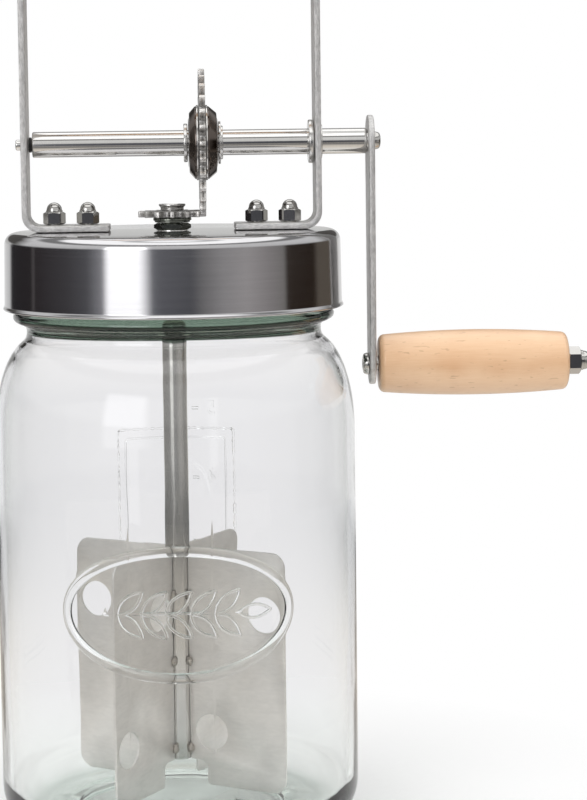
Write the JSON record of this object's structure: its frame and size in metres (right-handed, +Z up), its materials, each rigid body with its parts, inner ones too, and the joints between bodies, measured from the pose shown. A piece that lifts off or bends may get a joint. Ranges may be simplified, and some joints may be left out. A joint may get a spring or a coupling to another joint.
{
  "type": "butter churn",
  "caption": "Hand-cranked butter churn: a wide glass jar with a steel screw lid, an open gear frame with a wooden top grip, a side crank and a four-bladed dasher.",
  "frame": {"origin": "middle of the jar's base, on the surface it stands on", "axes": "+Z up along the jar's axis, +X along the axle towards the crank, -Y towards the picture's viewer"},
  "size_m": [0.2472, 0.148, 0.3915],
  "materials": {
    "clear_glass": "clear, faintly green in thick sections, smooth",
    "lid_steel": "fine circumferential brushing on the skirt, polished top",
    "bar_steel": "fine grained satin flat bar",
    "polished_steel": "polished turned steel",
    "gear_steel": "stamped steel, slightly dull",
    "dark_steel": "dark polished steel",
    "blade_steel": "satin sheet",
    "beech_wood": "pale beech, fine grain, clear satin coat",
    "seal_rubber": "matt white food-grade seal",
    "ring_plastic": "moulded white plastic",
    "black_nylon": "matt black"
  },
  "bodies": {
    "jar": {"glass_jar": "clear_glass"},
    "lid": {"lid_shell": "lid_steel", "lid_gasket": "seal_rubber", "lid_thread_ring": "ring_plastic", "left_bracket": "bar_steel", "right_bracket": "bar_steel", "foot_bolt_1": "polished_steel", "foot_bolt_2": "polished_steel", "foot_bolt_3": "polished_steel", "foot_bolt_4": "polished_steel", "foot_nut_1": "polished_steel", "foot_nut_2": "polished_steel", "foot_nut_3": "polished_steel", "foot_nut_4": "polished_steel", "shaft_bush": "polished_steel", "bush_nut": "dark_steel", "axle_bush": "polished_steel", "axle_spacer": "black_nylon", "top_grip": "beech_wood", "top_rod": "polished_steel", "top_nut_left": "polished_steel", "top_nut_right": "polished_steel"},
    "crank": {"crank_axle": "polished_steel", "drive_gear": "gear_steel", "gear_hub_left": "dark_steel", "gear_hub_right": "dark_steel", "hub_washer_left": "polished_steel", "hub_washer_right": "polished_steel", "crank_arm": "bar_steel", "arm_screw": "polished_steel", "grip_bolt": "polished_steel", "grip_nut": "polished_steel"},
    "grip": {"crank_grip": "beech_wood"},
    "dasher": {"dasher_shaft": "polished_steel", "pinion": "gear_steel", "pinion_washer": "dark_steel", "pinion_cap": "polished_steel", "blade_1": "blade_steel", "blade_2": "blade_steel", "blade_3": "blade_steel", "blade_4": "blade_steel"}
  },
  "joints": [
    {"name": "lid_lift", "type": "slide", "parent": "jar", "child": "lid", "axis": [0, 0, 1], "range_m": [0, 0.26]},
    {"name": "crank_turn", "type": "hinge", "parent": "lid", "child": "crank", "pos_m": [0, 0, 0.2817], "axis": [1, 0, 0], "continuous": true},
    {"name": "grip_spin", "type": "hinge", "parent": "crank", "child": "grip", "pos_m": [0.12335, 0, 0.1897], "axis": [1, 0, 0], "continuous": true},
    {"name": "dasher_spin", "type": "hinge", "parent": "lid", "child": "dasher", "pos_m": [0, 0, 0.246], "axis": [0, 0, 1], "continuous": true}
  ],
  "couplings": [
    {"joint": "dasher_spin", "follows": "crank_turn", "ratio": 2}
  ]
}
